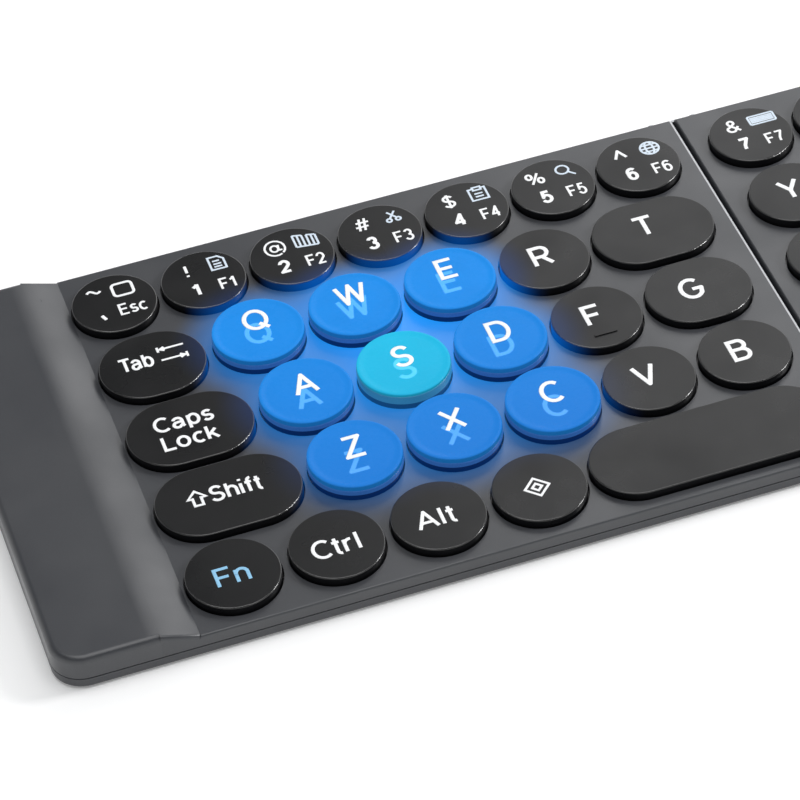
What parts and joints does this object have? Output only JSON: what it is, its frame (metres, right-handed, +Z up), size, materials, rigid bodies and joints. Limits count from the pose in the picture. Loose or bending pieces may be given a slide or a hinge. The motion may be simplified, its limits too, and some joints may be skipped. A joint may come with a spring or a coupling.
{
  "type": "folding keyboard",
  "caption": "Slim bi-fold wireless keyboard with round and pill-shaped keys, raised end blocks and a double-pin link hinge that closes the halves face to face.",
  "frame": {"origin": "on the desk plane, at the seam between the halves, in the middle of the depth", "axes": "+Z up, -Y towards the typist, X along the length with the left half on -X"},
  "size_m": [0.305, 0.1018, 0.0084],
  "materials": {
    "deck_grey": "satin grey coating, fine grain",
    "shell_grey": "grey moulded plastic, satin",
    "key_black": "matte black keycap with white print",
    "lit_blue": "translucent blue, lit from inside",
    "lit_cyan": "translucent cyan, lit from inside",
    "steel": "bare steel",
    "board": "green solder resist",
    "dome_rubber": "soft silicone",
    "foot_rubber": "matte rubber",
    "flex": "amber film",
    "magnet": "nickel plated",
    "cell": "foil pouch"
  },
  "bodies": {
    "left_half": {"left_top_cover": "deck_grey", "left_base_shell": "shell_grey", "left_circuit_board": "board", "left_dome_sheet": "dome_rubber", "left_hinge_brackets": "steel", "left_hinge_flex": "flex", "left_magnets": "magnet", "left_screws": "steel", "left_feet": "foot_rubber", "control_board": "board", "charging_socket": "steel"},
    "hinge_links": {"hinge_link_front": "steel", "hinge_link_rear": "steel", "hinge_pins": "steel"},
    "right_half": {"right_top_cover": "deck_grey", "right_base_shell": "shell_grey", "right_circuit_board": "board", "right_dome_sheet": "dome_rubber", "right_hinge_brackets": "steel", "right_hinge_flex": "flex", "right_magnets": "magnet", "right_screws": "steel", "right_feet": "foot_rubber", "battery": "cell"},
    "key_esc_body": {"key_esc": "key_black"},
    "key_1_body": {"key_1": "key_black"},
    "key_2_body": {"key_2": "key_black"},
    "key_3_body": {"key_3": "key_black"},
    "key_4_body": {"key_4": "key_black"},
    "key_5_body": {"key_5": "key_black"},
    "key_6_body": {"key_6": "key_black"},
    "key_tab_body": {"key_tab": "key_black"},
    "key_q_body": {"key_q": "lit_blue"},
    "key_w_body": {"key_w": "lit_blue"},
    "key_e_body": {"key_e": "lit_blue"},
    "key_r_cap_body": {"key_r_cap": "key_black"},
    "key_t_body": {"key_t": "key_black"},
    "key_caps_lock_body": {"key_caps_lock": "key_black"},
    "key_a_body": {"key_a": "lit_blue"},
    "key_s_body": {"key_s": "lit_cyan"},
    "key_d_body": {"key_d": "lit_blue"},
    "key_f_body": {"key_f": "key_black"},
    "key_g_body": {"key_g": "key_black"},
    "key_shift_body": {"key_shift": "key_black"},
    "key_z_body": {"key_z": "lit_blue"},
    "key_x_body": {"key_x": "lit_blue"},
    "key_c_body": {"key_c": "lit_blue"},
    "key_v_body": {"key_v": "key_black"},
    "key_b_body": {"key_b": "key_black"},
    "key_fn_body": {"key_fn": "key_black"},
    "key_ctrl_body": {"key_ctrl": "key_black"},
    "key_alt_body": {"key_alt": "key_black"},
    "key_diamond_body": {"key_diamond": "key_black"},
    "key_space_body": {"key_space": "key_black"},
    "right_number_row_keys_body": {"right_number_row_keys": "key_black"},
    "right_top_row_keys_body": {"right_top_row_keys": "key_black"},
    "right_home_row_keys_body": {"right_home_row_keys": "key_black"},
    "right_bottom_row_keys_body": {"right_bottom_row_keys": "key_black"},
    "right_space_row_keys_body": {"right_space_row_keys": "key_black"}
  },
  "joints": [
    {"name": "fold_left", "type": "hinge", "parent": "left_half", "child": "hinge_links", "pos_m": [-0.0044, 0, 0.0033], "axis": [0, -1, 0], "range_deg": [0, 90]},
    {"name": "fold_right", "type": "hinge", "parent": "hinge_links", "child": "right_half", "pos_m": [0.0044, 0, 0.0033], "axis": [0, -1, 0], "range_deg": [0, 90]},
    {"name": "press_esc", "type": "slide", "parent": "left_half", "child": "key_esc_body", "axis": [0, 0, 1], "range_m": [-0.0013, 0], "stiffness_N_per_m": 300},
    {"name": "press_1", "type": "slide", "parent": "left_half", "child": "key_1_body", "axis": [0, 0, 1], "range_m": [-0.0013, 0], "stiffness_N_per_m": 300},
    {"name": "press_2", "type": "slide", "parent": "left_half", "child": "key_2_body", "axis": [0, 0, 1], "range_m": [-0.0013, 0], "stiffness_N_per_m": 300},
    {"name": "press_3", "type": "slide", "parent": "left_half", "child": "key_3_body", "axis": [0, 0, 1], "range_m": [-0.0013, 0], "stiffness_N_per_m": 300},
    {"name": "press_4", "type": "slide", "parent": "left_half", "child": "key_4_body", "axis": [0, 0, 1], "range_m": [-0.0013, 0], "stiffness_N_per_m": 300},
    {"name": "press_5", "type": "slide", "parent": "left_half", "child": "key_5_body", "axis": [0, 0, 1], "range_m": [-0.0013, 0], "stiffness_N_per_m": 300},
    {"name": "press_6", "type": "slide", "parent": "left_half", "child": "key_6_body", "axis": [0, 0, 1], "range_m": [-0.0013, 0], "stiffness_N_per_m": 300},
    {"name": "press_tab", "type": "slide", "parent": "left_half", "child": "key_tab_body", "axis": [0, 0, 1], "range_m": [-0.0013, 0], "stiffness_N_per_m": 300},
    {"name": "press_q", "type": "slide", "parent": "left_half", "child": "key_q_body", "axis": [0, 0, 1], "range_m": [-0.0013, 0], "stiffness_N_per_m": 300},
    {"name": "press_w", "type": "slide", "parent": "left_half", "child": "key_w_body", "axis": [0, 0, 1], "range_m": [-0.0013, 0], "stiffness_N_per_m": 300},
    {"name": "press_e", "type": "slide", "parent": "left_half", "child": "key_e_body", "axis": [0, 0, 1], "range_m": [-0.0013, 0], "stiffness_N_per_m": 300},
    {"name": "press_r_cap", "type": "slide", "parent": "left_half", "child": "key_r_cap_body", "axis": [0, 0, 1], "range_m": [-0.0013, 0], "stiffness_N_per_m": 300},
    {"name": "press_t", "type": "slide", "parent": "left_half", "child": "key_t_body", "axis": [0, 0, 1], "range_m": [-0.0013, 0], "stiffness_N_per_m": 300},
    {"name": "press_caps_lock", "type": "slide", "parent": "left_half", "child": "key_caps_lock_body", "axis": [0, 0, 1], "range_m": [-0.0013, 0], "stiffness_N_per_m": 300},
    {"name": "press_a", "type": "slide", "parent": "left_half", "child": "key_a_body", "axis": [0, 0, 1], "range_m": [-0.0013, 0], "stiffness_N_per_m": 300},
    {"name": "press_s", "type": "slide", "parent": "left_half", "child": "key_s_body", "axis": [0, 0, 1], "range_m": [-0.0013, 0], "stiffness_N_per_m": 300},
    {"name": "press_d", "type": "slide", "parent": "left_half", "child": "key_d_body", "axis": [0, 0, 1], "range_m": [-0.0013, 0], "stiffness_N_per_m": 300},
    {"name": "press_f", "type": "slide", "parent": "left_half", "child": "key_f_body", "axis": [0, 0, 1], "range_m": [-0.0013, 0], "stiffness_N_per_m": 300},
    {"name": "press_g", "type": "slide", "parent": "left_half", "child": "key_g_body", "axis": [0, 0, 1], "range_m": [-0.0013, 0], "stiffness_N_per_m": 300},
    {"name": "press_shift", "type": "slide", "parent": "left_half", "child": "key_shift_body", "axis": [0, 0, 1], "range_m": [-0.0013, 0], "stiffness_N_per_m": 300},
    {"name": "press_z", "type": "slide", "parent": "left_half", "child": "key_z_body", "axis": [0, 0, 1], "range_m": [-0.0013, 0], "stiffness_N_per_m": 300},
    {"name": "press_x", "type": "slide", "parent": "left_half", "child": "key_x_body", "axis": [0, 0, 1], "range_m": [-0.0013, 0], "stiffness_N_per_m": 300},
    {"name": "press_c", "type": "slide", "parent": "left_half", "child": "key_c_body", "axis": [0, 0, 1], "range_m": [-0.0013, 0], "stiffness_N_per_m": 300},
    {"name": "press_v", "type": "slide", "parent": "left_half", "child": "key_v_body", "axis": [0, 0, 1], "range_m": [-0.0013, 0], "stiffness_N_per_m": 300},
    {"name": "press_b", "type": "slide", "parent": "left_half", "child": "key_b_body", "axis": [0, 0, 1], "range_m": [-0.0013, 0], "stiffness_N_per_m": 300},
    {"name": "press_fn", "type": "slide", "parent": "left_half", "child": "key_fn_body", "axis": [0, 0, 1], "range_m": [-0.0013, 0], "stiffness_N_per_m": 300},
    {"name": "press_ctrl", "type": "slide", "parent": "left_half", "child": "key_ctrl_body", "axis": [0, 0, 1], "range_m": [-0.0013, 0], "stiffness_N_per_m": 300},
    {"name": "press_alt", "type": "slide", "parent": "left_half", "child": "key_alt_body", "axis": [0, 0, 1], "range_m": [-0.0013, 0], "stiffness_N_per_m": 300},
    {"name": "press_diamond", "type": "slide", "parent": "left_half", "child": "key_diamond_body", "axis": [0, 0, 1], "range_m": [-0.0013, 0], "stiffness_N_per_m": 300},
    {"name": "press_space", "type": "slide", "parent": "left_half", "child": "key_space_body", "axis": [0, 0, 1], "range_m": [-0.0013, 0], "stiffness_N_per_m": 500},
    {"name": "press_right_number_row", "type": "slide", "parent": "right_half", "child": "right_number_row_keys_body", "axis": [0, 0, 1], "range_m": [-0.0013, 0], "stiffness_N_per_m": 2000},
    {"name": "press_right_top_row", "type": "slide", "parent": "right_half", "child": "right_top_row_keys_body", "axis": [0, 0, 1], "range_m": [-0.0013, 0], "stiffness_N_per_m": 2000},
    {"name": "press_right_home_row", "type": "slide", "parent": "right_half", "child": "right_home_row_keys_body", "axis": [0, 0, 1], "range_m": [-0.0013, 0], "stiffness_N_per_m": 2000},
    {"name": "press_right_bottom_row", "type": "slide", "parent": "right_half", "child": "right_bottom_row_keys_body", "axis": [0, 0, 1], "range_m": [-0.0013, 0], "stiffness_N_per_m": 2000},
    {"name": "press_right_space_row", "type": "slide", "parent": "right_half", "child": "right_space_row_keys_body", "axis": [0, 0, 1], "range_m": [-0.0013, 0], "stiffness_N_per_m": 2000}
  ]
}
